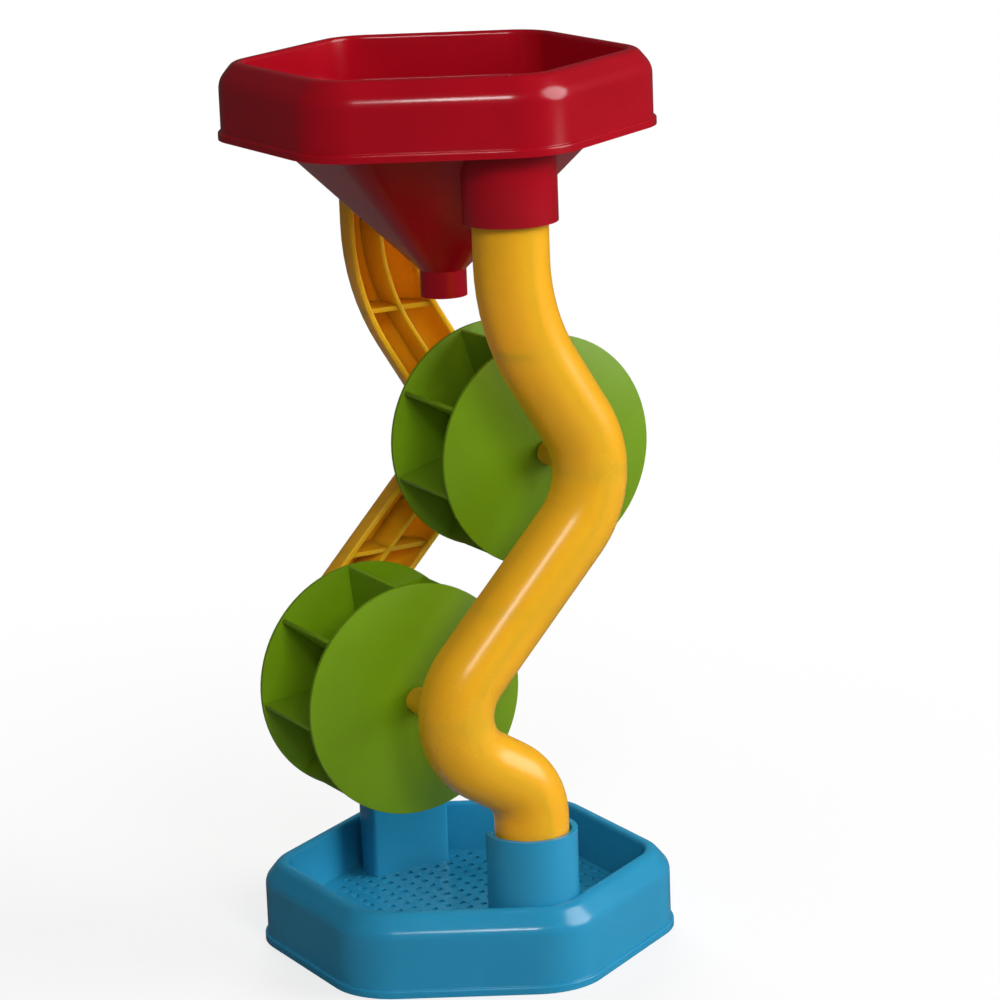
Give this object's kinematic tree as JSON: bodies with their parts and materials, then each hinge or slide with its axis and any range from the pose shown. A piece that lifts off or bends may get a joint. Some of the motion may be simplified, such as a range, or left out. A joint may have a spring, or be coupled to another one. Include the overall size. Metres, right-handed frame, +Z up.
{
  "type": "sand wheel toy",
  "caption": "Beach toy with a hexagonal hopper on zigzag columns, paddle wheels turned by falling sand, and a sieve tray.",
  "frame": {"origin": "on the ground, under the middle of the tray", "axes": "+Z up; the wheels' axles lie along Y; the front column, nearest the viewer in the picture, is at -Y; the upper wheel is at +X"},
  "size_m": [0.1223, 0.1332, 0.28],
  "materials": {
    "tray_blue": "glossy moulded plastic",
    "hopper_red": "glossy moulded plastic",
    "column_yellow": "glossy moulded plastic",
    "wheel_green": "glossy moulded plastic",
    "axle_plastic": "glossy moulded plastic"
  },
  "bodies": {
    "frame": {"base_tray": "tray_blue", "hopper": "hopper_red", "front_column": "column_yellow", "rear_column": "column_yellow", "upper_axle": "axle_plastic", "lower_axle": "axle_plastic"},
    "upper_wheel": {"upper_wheel": "wheel_green", "upper_wheel_cover": "wheel_green"},
    "lower_wheel": {"lower_wheel": "wheel_green", "lower_wheel_cover": "wheel_green"}
  },
  "joints": [
    {"name": "upper_wheel_spin", "type": "hinge", "parent": "frame", "child": "upper_wheel", "pos_m": [0.02459, 0, 0.15617], "axis": [0, -1, 0], "continuous": true},
    {"name": "lower_wheel_spin", "type": "hinge", "parent": "frame", "child": "lower_wheel", "pos_m": [-0.02491, 0, 0.0853], "axis": [0, -1, 0], "continuous": true}
  ]
}
